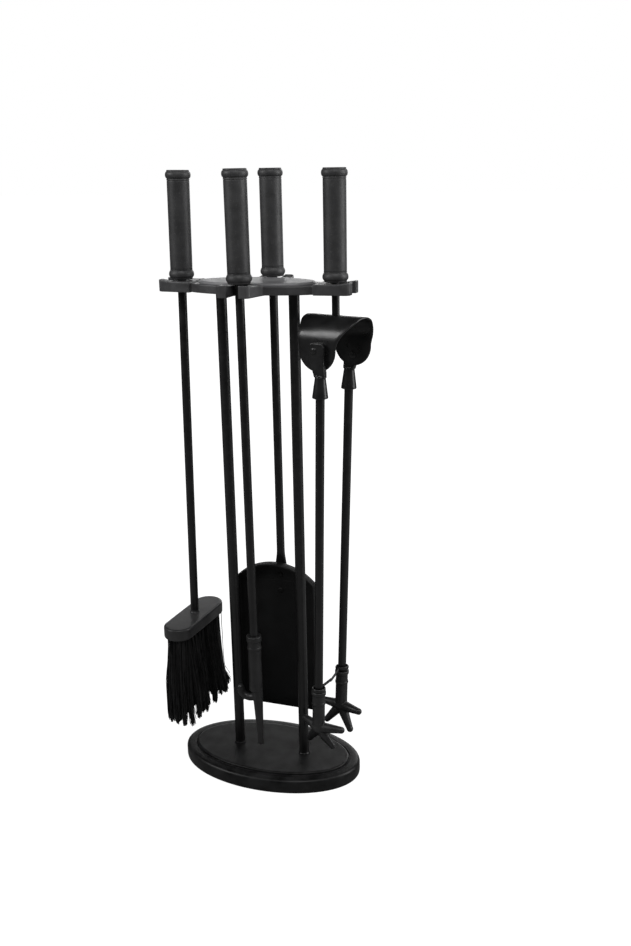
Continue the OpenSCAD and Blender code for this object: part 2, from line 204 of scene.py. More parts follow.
def floor_material():
    """A pale floor that glows to the camera, all white from 0.9 m out, so it meets the world."""
    material = bpy.data.materials.new("floor")
    material.use_nodes = True
    shader = material.node_tree.nodes["Principled BSDF"]
    shader.inputs["Base Color"].default_value = (0.32, 0.32, 0.32, 1)
    shader.inputs["Roughness"].default_value = 0.9
    shader.inputs["Emission Color"].default_value = (1, 1, 1, 1)
    tree = material.node_tree
    far = tree.nodes.new("ShaderNodeVectorMath")
    far.operation = "LENGTH"
    place = tree.nodes.new("ShaderNodeTexCoord").outputs["Object"]
    tree.links.new(place, far.inputs[0])
    seen = camera_ray_mix(tree, 1.0, 0.0)
    glow = tree.nodes.new("ShaderNodeMath")
    glow.operation = "MULTIPLY"
    tree.links.new(seen, glow.inputs[0])
    tree.links.new(ramp(tree, far.outputs["Value"], 0.15, 0.9, 0.90, 1.0), glow.inputs[1])
    tree.links.new(glow.outputs[0], shader.inputs["Emission Strength"])
    return material


def make_stage():
    scene = bpy.context.scene
    scene.view_settings.view_transform = "Standard"
    make_world()
    mesh = bpy.data.meshes.new("floor")
    reach = 30
    corners = [(-reach, -reach, 0), (reach, -reach, 0), (reach, reach, 0), (-reach, reach, 0)]
    mesh.from_pydata(corners, [], [(0, 1, 2, 3)])
    mesh.materials.append(floor_material())
    floor = bpy.data.objects.new("floor", mesh)
    scene.collection.objects.link(floor)

    area_light("right_light", (1.55, 0.35, 1.05), (0, 0, 0.4), (0.8, 1.5), 18)
    area_light("left_light", (-1.5, -1.05, 1.45), (0, 0, 0.5), (0.6, 0.8), 17)
    area_light("back_light", (-0.8, 5.0, 1.2), (0, 0, 0.5), (5.5, 1.0), 46)
    area_light("top_light", (0.45, -1.0, 1.9), (0, 0, 0.5), (0.7, 0.7), 9)
    area_light("rear_light", (0.25, 2.9, 1.75), (0, 0, 0.1), (0.8, 0.7), 8)


# ---------------------------------------------------------------- materials


def noise(tree, place, size, detail=4.0, roughness=0.55):
    """Noise whose features are about size millimetres across."""
    node = tree.nodes.new("ShaderNodeTexNoise")
    node.inputs["Scale"].default_value = 1 / (size * MM)
    node.inputs["Detail"].default_value = detail
    node.inputs["Roughness"].default_value = roughness
    tree.links.new(place, node.inputs["Vector"])
    return node.outputs["Fac"]


def colour_mix(tree, factor, first, second):
    """Blends two colours, each a socket or a grey level."""
    node = tree.nodes.new("ShaderNodeMix")
    node.data_type = "RGBA"
    tree.links.new(factor, node.inputs[0])
    for socket, colour in ((node.inputs[6], first), (node.inputs[7], second)):
        if isinstance(colour, bpy.types.NodeSocket):
            tree.links.new(colour, socket)
        else:
            socket.default_value = (colour, colour, colour * 1.03, 1)
    return node.outputs[2]


def bump(tree, height, strength, distance, below=None):
    node = tree.nodes.new("ShaderNodeBump")
    node.inputs["Strength"].default_value = strength
    node.inputs["Distance"].default_value = distance * MM
    tree.links.new(height, node.inputs["Height"])
    if below:
        tree.links.new(below, node.inputs["Normal"])
    return node.outputs["Normal"]


def painted(name, dark, light, roughness, peel=(0.8, 0.03), cast=(7, 0.10), speck=0.0, edge_wear_and_highlight=0.0,
            metallic=0.0, specular=0.5):
    """Paint over metal. Peel is the paint's own texture and cast the metal's below it,
    each as its size and height; speck lightens fine grains, and the edge setting lightens
    the edges in patches, partly as wear and partly as a painted highlight."""
    material = bpy.data.materials.new(name)
    material.use_nodes = True
    tree = material.node_tree
    shader = tree.nodes["Principled BSDF"]
    shader.inputs["Metallic"].default_value = metallic
    shader.inputs["Specular IOR Level"].default_value = specular
    place = tree.nodes.new("ShaderNodeTexCoord").outputs["Object"]

    clouds = noise(tree, place, 22, 5)
    grain = noise(tree, place, peel[0], 3, 0.6)
    colour = colour_mix(tree, ramp(tree, clouds, 0.35, 0.65, 0, 1), dark, light)
    if speck:
        grains = noise(tree, place, 0.9, 2, 0.5)
        colour = colour_mix(tree, ramp(tree, grains, 0.60, 0.72, 0, speck), colour, light * 3 + 0.03)
    # Lighter edges in patches: partly wear, partly a painted highlight along the edges
    if edge_wear_and_highlight:
        edges = tree.nodes.new("ShaderNodeNewGeometry").outputs["Pointiness"]
        patches = ramp(tree, noise(tree, place, 5, 4), 0.42, 0.62, 0.3, 1)
        found = tree.nodes.new("ShaderNodeMath")
        found.operation = "MULTIPLY"
        tree.links.new(ramp(tree, edges, 0.52, 0.60, 0, edge_wear_and_highlight), found.inputs[0])
        tree.links.new(patches, found.inputs[1])
        colour = colour_mix(tree, found.outputs[0], colour, light * 2.2 + 0.05)
    tree.links.new(colour, shader.inputs["Base Color"])

    smudges = noise(tree, place, 11, 4)
    low, high = roughness
    tree.links.new(ramp(tree, smudges, 0.3, 0.7, low, high), shader.inputs["Roughness"])
    coarse = bump(tree, noise(tree, place, cast[0], 3, 0.5), 1.0, cast[1])
    tree.links.new(bump(tree, grain, 1.0, peel[1], coarse), shader.inputs["Normal"])
    return material


MATERIALS = {
    # The base's strong edge lightening is mostly a painted highlight along its moulded step, with some wear
    "base": painted("base", 0.002, 0.018, (0.35, 0.44), peel=(1.6, 0.02), cast=(34, 0.10),
                    edge_wear_and_highlight=0.9, specular=0.27),
    # The hanger has the same black cast paint as the base; its lighter grey is painted light falling on its
    # faces
    "hanger": painted("hanger", 0.052, 0.085, (0.30, 0.46), peel=(0.9, 0.03), cast=(8, 0.14),
                      speck=0.15, edge_wear_and_highlight=0.6),
    # The cover's light grey is a painted reflection: the grazing sheen of a black painted cover
    "cover": painted("cover", 0.20, 0.26, (0.34, 0.46), peel=(0.8, 0.03), cast=(16, 0.12),
                     speck=0.1, edge_wear_and_highlight=0.4),
    "posts": painted("posts", 0.006, 0.011, (0.28, 0.42), peel=(1.2, 0.03), cast=(18, 0.06),
                     speck=0.06, edge_wear_and_highlight=0.2),
    "grips": painted("grips", 0.032, 0.052, (0.44, 0.58), peel=(1.8, 0.05), cast=(14, 0.06),
                     speck=0.4, edge_wear_and_highlight=0.3),
    "rods": painted("rods", 0.006, 0.011, (0.30, 0.44), peel=(1.2, 0.03), cast=(18, 0.06),
                    speck=0.06, edge_wear_and_highlight=0.2),
    "heads": painted("heads", 0.012, 0.024, (0.32, 0.50), peel=(1.0, 0.04), cast=(5, 0.18),
                     speck=0.2, edge_wear_and_highlight=0.6),
    "block": painted("block", 0.024, 0.040, (0.32, 0.46), peel=(1.0, 0.03), cast=(9, 0.12),
                     speck=0.2, edge_wear_and_highlight=0.5),
    "pan": painted("pan", 0.0025, 0.006, (0.50, 0.66), peel=(1.4, 0.06), cast=(20, 0.12),
                   speck=0.12, edge_wear_and_highlight=0.2, specular=0.3),
    "band": painted("band", 0.010, 0.020, (0.26, 0.34), peel=(1.6, 0.02), cast=(20, 0.06),
                    edge_wear_and_highlight=0.4),
    "tie": painted("tie", 0.012, 0.02, (0.35, 0.5), peel=(0.6, 0.03), cast=(3, 0.08)),
    "zinc": painted("zinc", 0.42, 0.55, (0.25, 0.45), peel=(0.6, 0.02), cast=(4, 0.03),
                    metallic=1.0),
}


def bristle_material():
    """Stiff black fibre, each strand a little lighter or browner than the next."""
    material = bpy.data.materials.new("bristles")
    material.use_nodes = True
    tree = material.node_tree
    shader = tree.nodes["Principled BSDF"]
    place = tree.nodes.new("ShaderNodeTexCoord").outputs["Object"]
    tufts = noise(tree, place, 6, 3)
    colour = colour_mix(tree, ramp(tree, tufts, 0.35, 0.68, 0, 1), 0.004, 0.015)
    strands = noise(tree, place, 1.1, 2)
    colour = colour_mix(tree, ramp(tree, strands, 0.6, 0.75, 0, 0.3), colour, 0.05)
    tree.links.new(colour, shader.inputs["Base Color"])
    tree.links.new(ramp(tree, tufts, 0.3, 0.7, 0.45, 0.7), shader.inputs["Roughness"])
    tree.links.new(bump(tree, strands, 0.6, 0.1), shader.inputs["Normal"])
    shader.inputs["Specular IOR Level"].default_value = 0.35
    return material


MATERIALS["bristles"] = bristle_material()

# ---------------------------------------------------------------- shapes


def rounded(points, steps=4):
    """Rounds an open profile's corners. A point's third number is how far along
    each side its corner is cut back; a point of two numbers stays sharp."""
    out = [np.array(points[0][:2], float)]
    for before, corner, after in zip(points, points[1:], points[2:]):
        here = np.array(corner[:2], float)
        if len(corner) < 3:
            out.append(here)
            continue
        to_before = np.array(before[:2], float) - here
        to_after = np.array(after[:2], float) - here
        share_a = min(0.45, corner[2] / np.linalg.norm(to_before))
        share_b = min(0.45, corner[2] / np.linalg.norm(to_after))
        start, end = here + to_before * share_a, here + to_after * share_b
        out.append(here + to_before * share_a * 1.1)
        for step in range(steps + 1):
            t = step / steps
            out.append((1 - t) ** 2 * start + 2 * t * (1 - t) * here + t * t * end)
        out.append(here + to_after * share_b * 1.1)
    out.append(np.array(points[-1][:2], float))
    return out


def circle(radius, z, count=64, centre=(0, 0), turn=0.0):
    angles = turn + np.linspace(0, 2 * math.pi, count, endpoint=False)
    return np.stack([centre[0] + radius * np.cos(angles), centre[1] + radius * np.sin(angles),
                     np.full(count, float(z))], 1)


def loft(rings, closed=False):
    """Points and faces that join rings of equal length, closed at both ends or into a loop."""
    count = len(rings[0])
    faces = []
    last = len(rings) if closed else len(rings) - 1
    for ring in range(last):
        a, b = ring * count, (ring + 1) % len(rings) * count
        for i in range(count):
            j = (i + 1) % count
            faces.append((a + i, a + j, b + j, b + i))
    if not closed:
        faces.append(tuple(range(count))[::-1])
        faces.append(tuple(range((len(rings) - 1) * count, len(rings) * count)))
    return np.concatenate(rings), faces


def lathe(profile, count=64):
    return loft([circle(r, z, count) for r, z in rounded(profile)])


def tube(path, radius, count=12, closed=False):
    """A round wire along a path."""
    path = np.array(path, float)
    ahead = np.roll(path, -1, 0) - np.roll(path, 1, 0)
    if not closed:
        ahead[0], ahead[-1] = path[1] - path[0], path[-1] - path[-2]
    rings = []
    side = np.array([0.0, 0.0, 1.0])
    for point, way in zip(path, ahead):
        way = way / np.linalg.norm(way)
        side = side - way * side.dot(way)
        side /= np.linalg.norm(side)
        other = np.cross(way, side)
        angles = np.linspace(0, 2 * math.pi, count, endpoint=False)
        rings.append(point + radius * (np.outer(np.cos(angles), side) + np.outer(np.sin(angles), other)))
    return loft(rings, closed)


def joined(*parts):
    """Several sets of points and faces as one."""
    points, faces, start = [], [], 0
    for part_points, part_faces in parts:
        points.append(part_points)
        faces += [tuple(i + start for i in face) for face in part_faces]
        start += len(part_points)
    return np.concatenate(points), faces


def laid_along_y(shape, x, y, z, way):
    """A shape's +Z turned to way along Y, and its origin moved to a place."""
    points, faces = shape
    return np.stack([points[:, 0] + x, y + way * points[:, 2], z + points[:, 1]], 1), faces


def place_points(points, axes):
    """Points in millimetres, from some axes of their own to the frame's, in metres."""
    matrix = np.array(axes)
    return points * MM @ matrix[:3, :3].T + matrix[:3, 3]


def show(obj, body, slot, material, *replaced):
    """Gives a finished piece its material and body, and hides the CAD nodes that it stands for. The slot is
    not used.
    """
    obj.data.materials.clear()
    obj.data.materials.append(MATERIALS[material])
    if body:
        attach(obj, body)
    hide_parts(*replaced)
    return obj


def new_object(name, shape, axes=WORLD, sharp=40):
    points, faces = shape
    mesh = bpy.data.meshes.new(name)
    mesh.from_pydata(place_points(points, axes).tolist(), [], faces)
    build = bmesh.new()
    build.from_mesh(mesh)
    bmesh.ops.recalc_face_normals(build, faces=build.faces)
    build.to_mesh(mesh)
    build.free()
    mesh.shade_smooth()
    mesh.set_sharp_from_angle(angle=math.radians(sharp))
    obj = bpy.data.objects.new(name, mesh)
    bpy.context.scene.collection.objects.link(obj)
    return obj


def apply_modifiers(obj):
    bpy.context.view_layer.update()
    shaped = obj.evaluated_get(bpy.context.evaluated_depsgraph_get())
    mesh = bpy.data.meshes.new_from_object(shaped)
    obj.modifiers.clear()
    obj.data = mesh
    return obj


def softened(node, voxel, rounds, grow=0.0):
    """A copy of a CAD node with its edges rounded like a casting's, then grown back
    by what the rounding took off its thin parts."""
    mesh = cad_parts[node].data.copy()
    obj = bpy.data.objects.new(node + "_cast", mesh)
    bpy.context.scene.collection.objects.link(obj)
    remesh = obj.modifiers.new("remesh", "REMESH")
    remesh.mode = "VOXEL"
    remesh.voxel_size = voxel * MM
    smooth = obj.modifiers.new("smooth", "SMOOTH")
    smooth.factor = 0.5
    smooth.iterations = rounds
    if grow:
        swell = obj.modifiers.new("swell", "DISPLACE")
        swell.strength = grow * MM
        swell.mid_level = 0
    apply_modifiers(obj)
    obj.data.shade_smooth()
    return obj


# ---------------------------------------------------------------- stand


def oval_loft(a, b, profile, count=160, steps=4):
    """Ovals whose rings are set in from the half-lengths a and b, as (inset, z) points."""
    angles = np.linspace(0, 2 * math.pi, count, endpoint=False)
    rings = []
    for inset, z in rounded(profile, steps):
        rings.append(np.stack([(a - inset) * np.cos(angles), (b - inset) * np.sin(angles),
                               np.full(count, float(z))], 1))
    return loft(rings)


def make_stand():
    low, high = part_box("base")
    a, b, top = high.x / MM, high.y / MM, high.z / MM
    profile = [
        (30, top - 7.3), (6, top - 7.3, 2), (5.4, 0.6), (4.8, 0), (1.2, 0, 0.8), (0.3, 1.6, 0.5),
        (0, 4), (0, 15.6, 2.4), (2.4, 18.3, 2.0), (7, 18.9, 2.0), (12.6, 19.0, 0.6),
        (13.3, 17.8, 0.4), (14.4, 17.8, 0.4), (14.9, top - 0.6, 0.9), (16.6, top, 1.2),
        (24, top - 0.1), (40, top - 0.1),
    ]
    show(new_object("oval_base", oval_loft(a, b, profile), sharp=60), "stand", "cast", "base", "base")
    for side, node in ((-1, "left_post"), (1, "right_post")):
        low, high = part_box(node)
        centre = (low + high) / 2 / MM
        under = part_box("hanger")[0].z / MM
        profile = [
            (3, top - 3), (7.3, top - 3), (7.3, top + 0.3, 0.4), (7.0, top + 1.0, 0.4),
            (6.5, top + 1.5, 0.4), (6.35, top + 4, 1.5), (6.4, top + 40), (6.4, under + 4),
            (3, under + 4),
        ]
        post = new_object(node + "_bar", lathe(profile), moved(centre.x, centre.y, 0), 50)
        show(post, "stand", "posts", "posts", node)
    hanger = softened("hanger", 0.7, 5, 0.1)
    show(hanger, "stand", "cast", "hanger", "hanger")
    low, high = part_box("hanger_cover")
    a, b = high.x / MM - 0.3, high.y / MM - 0.3
    z0, z1 = low.z / MM, high.z / MM
    profile = [
        (30, z0), (0, z0, 0.3), (0, z0 + 1.7, 0.7), (1.2, z0 + 1.75, 0.3), (1.7, z1 - 0.2, 0.6),
        (3.6, z1, 0.8), (30, z1),
    ]
    cover = new_object("oval_cover", oval_loft(a, b, profile, 128), sharp=60)
    show(cover, "stand", "cover", "cover", "hanger_cover")
    for node in ("base_bolts", "base_washers", "hanger_screws"):
        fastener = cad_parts[node]
        fastener.data.materials.clear()
        fastener.data.materials.append(MATERIALS["zinc"])


# ---------------------------------------------------------------- grips and rods

# The rods end inside the grips
ROD_TOP = SLEEVE_HIGH - 8

# Profiles, each point a radius, a height and how far a corner is rounded
SLEEVE = [
    (10, SLEEVE_LOW), (12.7, SLEEVE_LOW, 0.2), (GRIP_R, SLEEVE_LOW + 0.8, 0.5), (GRIP_R, SLEEVE_LOW + 50),
    (GRIP_R, SLEEVE_HIGH - 0.8, 0.5), (12.7, SLEEVE_HIGH, 0.2), (10, SLEEVE_HIGH),
]
CAP = [
    (10, SLEEVE_HIGH), (13.1, SLEEVE_HIGH, 0.1), (13.3, 112.7, 0.1), (13.3, 113.6, 0.3), (12.9, 114.1, 0.3),
    (13.2, 114.7, 0.3), (14.3, 115.7, 0.8), (BEAD_R, 118.2, 1.8), (14.5, 120.9, 1.4), (13.5, 122.0, 0.5),
    (13.1, 122.4, 0.3), (13.1, 123.5, 0.4), (12.6, GRIP_LENGTH, 0.4), (4, GRIP_LENGTH - 0.15),
]


def collar(rod_r):
    return [
        (rod_r + 0.1, 10), (rod_r + 0.1, 0.3, 0.2), (rod_r + 0.6, 0, 0.2), (12.0, 0, 0.5), (12.9, 0.6, 0.4),
        (13.1, 1.7, 0.3), (13.4, 2.2, 0.3), (14.5, 3.6, 0.9), (BEAD_R, 5.8, 1.7), (14.5, 8.2, 1.6),
        (13.5, 9.8, 0.8), (13.2, 10.3, 0.2), (12.9, 10.7, 0.3), (13.3, 11.2, 0.3), (13.2, SLEEVE_LOW, 0.1),
        (10, SLEEVE_LOW),
    ]


def make_grips():
    """The same turned sleeve, cap and collar on all four tools."""
    for tool, axes in TOOLS.items():
        rod_r = TONGS_ROD_R if tool == "tongs" else ROD_R
        for part, profile in (("sleeve", SLEEVE), ("top_cap", CAP), ("collar", collar(rod_r))):
            node = f"{tool}_{part}"
            obj = new_object(node + "_turned", lathe(profile, 72), axes, 50)
            show(obj, tool, "grips", "grips", node)


def rod(name, low, high, radius, axes, body, node):
    """A round bar along the axes' Z, with its ends softened."""
    profile = [(radius - 1, low), (radius, low, 0.3), (radius, high, 0.3), (radius - 1, high)]
    return show(new_object(name, lathe(profile, 48), axes, 50), body, "rods", "rods", node)


# ---------------------------------------------------------------- brush


def stadium_ring(length, width, z, count=96):
    """A ring like a running track, its long axis along Y."""
    gap = (length - width) / 2
    out = []
    for i in range(count):
        angle = 2 * math.pi * i / count
        x, y = math.cos(angle) * width / 2, math.sin(angle) * width / 2
        out.append((x, y + gap * max(-1, min(1, math.sin(angle) * 6)), z))
    return np.array(out)


def make_brush():
    axes = TOOLS["brush"]
    rod("brush_rod_bar", BLOCK_TOP - 6, ROD_TOP, ROD_R, axes, "brush", "brush_rod")
    block_axes = axes @ turned(BLOCK_TURN, "Z") @ moved(*BLOCK_SHIFT, 0)
    low = BLOCK_TOP - BLOCK_HEIGHT
    profile = [
        (8, low), (0.8, low, 0.6), (0.1, low + 1.2, 0.8), (0, low + 8), (0, BLOCK_TOP - 1.6, 1.4),
        (1.6, BLOCK_TOP, 1.4), (8, BLOCK_TOP), (12, BLOCK_TOP),
    ]
    rings = [
        stadium_ring(BLOCK_LENGTH - 2 * inset, BLOCK_WIDTH - 2 * inset, z)
        for inset, z in rounded(profile)
    ]
    weld_profile = [
        (3, BLOCK_TOP - 2), (6.9, BLOCK_TOP - 2), (6.7, BLOCK_TOP + 0.1, 0.4),
        (5.8, BLOCK_TOP + 0.8, 0.6), (5.3, BLOCK_TOP + 2.4, 0.6), (5.1, BLOCK_TOP + 4),
    ]
    weld = lathe(weld_profile, 48)
    weld = (weld[0] - np.array([*BLOCK_SHIFT, 0]), weld[1])
    block = new_object("brush_block_cast", joined(loft(rings), weld), block_axes, 50)
    show(block, "brush", "heads", "block", "brush_block")
    bristles = new_object("bristle_strands", bristle_shape(low), block_axes, 60)
    show(bristles, "brush", "bristles", "bristles", "brush_bristles")


def scattered(x_spread, y_spread):
    return np.array([random.gauss(0, x_spread), random.gauss(0, y_spread)])


def bristle_strand(root, tip, bow, drop, flare, root_z):
    """A thin wavy strand from about the root of its tuft to about the tuft's tip."""
    start = root + scattered(1.9, 2.0)
    end_spread = scattered(1.7, 1.9)
    belly = scattered(1.3, 1.5) + bow
    end = tip + end_spread
    end_z = BRISTLE_TIP + drop + random.uniform(-3, 4) + 0.45 * end_spread.dot(end_spread)
    phase = random.uniform(0, 6.3)
    turns = random.uniform(1.0, 2.2)
    swing = random.uniform(0.2, 0.8)
    thick = random.uniform(0.48, 0.72)
    turn = random.uniform(0, 2)
    rings = []
    for t in np.linspace(0, 1, 8):
        wave = swing * math.sin(phase + turns * 2 * math.pi * t) * t
        bowed = belly * math.sin(math.pi * t ** 1.3)
        centre = start + (end - start) * t ** flare + bowed + wave
        z = root_z + 1 + (end_z - root_z - 1) * t
        rings.append(circle(thick * (1 - 0.3 * t), z, 3, centre, turn))
    return loft(rings)


def bristle_shape(root_z):
    """Tufts of strands around a dark core. They hang straight, then fan out to their
    ends, where each tuft draws together again."""
    rows, columns, strands = 12, 3, 76
    parts = []
    for row in range(rows):
        for column in range(columns):
            v = (row / (rows - 1)) * 2 - 1
            u = (column / (columns - 1)) * 2 - 1
            inside = math.sqrt(max(0.0, 1 - max(0.0, abs(v) - 0.72) ** 2 / 0.28 ** 2 * 0.75))
            root = np.array([u * 11 * inside, v * 48.5])
            tip = np.array([2.5 + u * 16.5 * inside, 4 + v * 59]) + scattered(1.8, 2.4)
            drop = random.uniform(-4.5, 5) - 3 * max(0.0, v - 0.6)
            bow = scattered(0.9, 1.2)
            flare = 1.2 + 1.6 * max(0.0, v)
            for _ in range(strands):
                parts.append(bristle_strand(root, tip, bow, drop, flare, root_z))
    core = []
    for t in np.linspace(0, 1, 9):
        ring = stadium_ring(100 + 14 * t, 24 + 6 * t, root_z + 1 + (BRISTLE_TIP + 18 - root_z) * t, 48)
        core.append(ring + np.array([2.5 * t, 4 * t ** 1.6, 0]))
    return joined(*parts, loft(core))


# ---------------------------------------------------------------- poker and shovel


def make_poker():
    axes = TOOLS["poker"]
    rod("poker_rod_bar", POKER_RING - 20, ROD_TOP, ROD_R, axes, "poker", "poker_rod")
    show(softened("poker_head", 0.55, 3, 0.2), "poker", "heads", "heads", "poker_head")


def squared_ring(a, b, power, z, count=48):
    """A ring between an ellipse, at power 2, and a rectangle."""
    angles = np.linspace(0, 2 * math.pi, count, endpoint=False)
    c, s = np.cos(angles), np.sin(angles)
    return np.stack([a * np.sign(c) * np.abs(c) ** (2 / power), b * np.sign(s) * np.abs(s) ** (2 / power),
                     np.full(count, float(z))], 1)


def pan_edge():
    """The pan's outline: up its left side, over the arch and down its right side, even
    about its middle point."""
    meet = math.acos(PAN_HALF / PAN_ARCH_R)
    centre_z = PAN_HIGH - PAN_ARCH_R
    outline = [(-PAN_HALF, PAN_LOW), (-PAN_HALF, centre_z + PAN_ARCH_R * math.sin(meet), 7)]
    arc = np.linspace(math.pi - meet, math.pi / 2, 26)[1:]
    outline += [(PAN_ARCH_R * math.cos(t), centre_z + PAN_ARCH_R * math.sin(t)) for t in arc]
    half = rounded(outline, 6)
    sides = [half[0] + (half[1] - half[0]) * t for t in np.linspace(0, 1, 12)[1:-1]]
    half = [half[0]] + sides + half[1:]
    full = np.array(half + [np.array([-p[0], p[1]]) for p in half[-2::-1]])
    keep = np.linalg.norm(np.diff(full, axis=0), axis=1) > 0.3
    keep = keep & keep[::-1]
    full = full[np.concatenate([[True], keep])]
    if len(full) % 2 == 0:
        raise ValueError("the pan's outline has lost its middle point")
    return full


def pan_shape():
    """The middle surface of the pan: a floor, a rounded bend and a rim, open at the bottom."""
    full = pan_edge()
    way = np.gradient(full, axis=0)
    way[0], way[-1] = (0, 1), (0, -1)
    inward = np.stack([way[:, 1], -way[:, 0]], 1)
    inward /= np.linalg.norm(inward, axis=1)[:, None]

    # The rim and the bend: rows that follow the outline, each set in from it
    inset = PAN_WALL / 2
    floor_y = PAN_BACK - inset
    bend = 3.5
    rows = [(inset, PAN_BACK - PAN_DEPTH + inset), (inset, PAN_BACK - PAN_DEPTH / 2)]
    for angle in np.linspace(0, math.pi / 2, 7):
        rows.append((inset + bend * (1 - math.cos(angle)), floor_y - bend * (1 - math.sin(angle))))
    points, faces = [], []
    count = len(full)
    for depth, y in rows:
        for x, z in full + inward * depth:
            points.append((x + PAN_SHIFT, y, z))
    for row in range(len(rows) - 1):
        for i in range(count - 1):
            a = row * count + i
            faces.append((a, a + 1, a + count + 1, a + count))

    # The floor: strips from left to right that end in the arch's middle point
    columns = 14
    edge = (len(rows) - 1) * count
    middle = count // 2
    previous = None
    for i in range(middle):
        left, right = edge + i, edge + count - 1 - i
        line = [left]
        for t in np.arange(1, columns) / columns:
            line.append(len(points))
            points.append(tuple(np.array(points[left]) * (1 - t) + np.array(points[right]) * t))
        line.append(right)
        if previous:
            for k in range(columns):
                faces.append((previous[k], previous[k + 1], line[k + 1], line[k]))
        previous = line
    for k in range(columns):
        faces.append((previous[k], previous[k + 1], edge + middle))
    return np.array(points), faces


def make_shovel():
    axes = TOOLS["shovel"]
    palm_top = PAN_HIGH + 5
    stages = [
        (3.9, 3.9, 2, ROD_TOP), (ROD_R, ROD_R, 2, ROD_TOP - 0.5), (ROD_R, ROD_R, 2, 20),
        (ROD_R, ROD_R, 2, palm_top + 12), (5.3, 4.8, 2.1, palm_top + 7), (5.8, 3.6, 2.6, palm_top + 2),
        (6.6, 2.6, 4, palm_top - 4), (8, 2.5, 6, palm_top - 14), (8, 2.5, 6, palm_top - 52),
        (7.6, 2.5, 4, palm_top - 57), (6.0, 2.3, 3, palm_top - 58.6), (4.5, 1.5, 3, palm_top - 59),
    ]
    rings = [squared_ring(*stage) for stage in stages]
    show(new_object("shovel_rod_bar", loft(rings), axes, 60), "shovel", "rods", "rods", "shovel_rod")

    pan = new_object("shovel_pan_pressed", pan_shape(), axes, 60)
    solid = pan.modifiers.new("wall", "SOLIDIFY")
    solid.thickness = PAN_WALL * MM
    solid.offset = 0
    soft = pan.modifiers.new("lip", "BEVEL")
    soft.width = 0.45 * MM
    soft.segments = 2
    soft.limit_method = "ANGLE"
    soft.angle_limit = math.radians(60)
    apply_modifiers(pan)
    show(pan, "shovel", "pan", "pan", "shovel_pan")

    heads = []
    profile = [
        (1.2, -1), (3.7, -1), (3.7, 0.1, 0.1), (3.4, 0.7, 0.4), (2.2, 1.5, 0.8), (0.6, 1.65),
    ]
    for drop in (18, 40):
        for start, way in ((PAN_BACK - PAN_WALL, -1), (2.5, 1)):
            heads.append(laid_along_y(lathe(profile, 28), 0, start, PAN_HIGH - drop, way))
    show(new_object("pan_rivet_heads", joined(*heads), axes), "shovel", "pan", "pan", "shovel_rivets")


# ---------------------------------------------------------------- tongs


def smooth_through(at, knots):
    """The value at a place on a smooth curve through (place, value) knots, which is
    level at its last knot."""
    places, values = np.array(knots, float).T
    slopes = np.gradient(values, places)
    slopes[-1] = 0
    k = int(np.clip(np.searchsorted(places, at) - 1, 0, len(places) - 2))
    span = places[k + 1] - places[k]
    t = (at - places[k]) / span
    return ((2 * t**3 - 3 * t**2 + 1) * values[k] + (t**3 - 2 * t**2 + t) * span * slopes[k]
            + (3 * t**2 - 2 * t**3) * values[k + 1] + (t**3 - t**2) * span * slopes[k + 1])


def band_cuts(side):
    """Cuts across half of the sprung band, from its crown to its round foot. Each is its
    place in Y and Z, its outward way, its left and right edges and its share of the wall."""
    shift = LOBE_SHIFT[side]
    lobe_z = BAND_FOOT + BAND_LOBE
    radius = BAND_R - BAND_WALL / 2
    bend_z = BAND_TOP - BAND_R
    quarter = radius * math.pi / 2
    lobe_at = quarter + bend_z - lobe_z
    bulge = 1.2 if side < 0 else 5.5
    right = [(0, 39), (17, 35), (30, 26.5), (42, 18.8), (lobe_at, BAND_LOBE - shift)]
    left = [(0, -39), (13, -38 - bulge / 6), (27, -BAND_LOBE - shift - bulge),
            (39, -BAND_LOBE - shift - bulge / 2), (lobe_at, -BAND_LOBE - shift)]
    cuts = []
    for angle in np.linspace(0, math.pi / 2, 36):
        at = radius * angle
        y, z = radius * math.sin(angle), bend_z + radius * math.cos(angle)
        edges = smooth_through(at, left), smooth_through(at, right)
        cuts.append((y, z, math.sin(angle), math.cos(angle), *edges, 1))
    for z in np.linspace(bend_z, lobe_z, 6)[1:]:
        at = quarter + bend_z - z
        cuts.append((radius, z, 1, 0, smooth_through(at, left), smooth_through(at, right), 1))
    for angle in np.linspace(0, math.pi / 2, 24)[1:]:
        half = max(0.6, BAND_LOBE * math.cos(angle))
        z = lobe_z - BAND_LOBE * math.sin(angle)
        thin = min(1.0, 0.35 + (z - BAND_FOOT) / 0.8)
        cuts.append((radius, z, 1, 0, -shift - half, -shift + half, thin))
    return cuts


def band_ring(left, right):
    """Points round one cut of the band, as X and a height from -1 inside to 1 outside,
    with its left and right edges rounded."""
    edge = min(0.8, (right - left) / 4)
    flat = [left + edge + (right - left - 2 * edge) * t for t in np.linspace(0, 1, 14)]
    ring = [(x, 1) for x in flat]
    for angle in (60, 30, 0, -30, -60):
        ring.append((right - edge + edge * math.cos(math.radians(angle)), math.sin(math.radians(angle))))
    ring += [(x, -1) for x in flat[::-1]]
    for angle in (-120, -150, 180, 150, 120):
        ring.append((left + edge + edge * math.cos(math.radians(angle)), math.sin(math.radians(angle))))
    return ring


def band_half(side):
    """Half of the sprung band, from the middle of its crown to the round foot of one leg."""
    rings = []
    for y, z, out_y, out_z, left, right, thin in band_cuts(side):
        wall = BAND_WALL / 2 * thin
        ring = [(x * -side, side * (y + out_y * h * wall), z + out_z * h * wall)
                for x, h in band_ring(left, right)]
        rings.append(np.array(ring))
    return loft(rings)


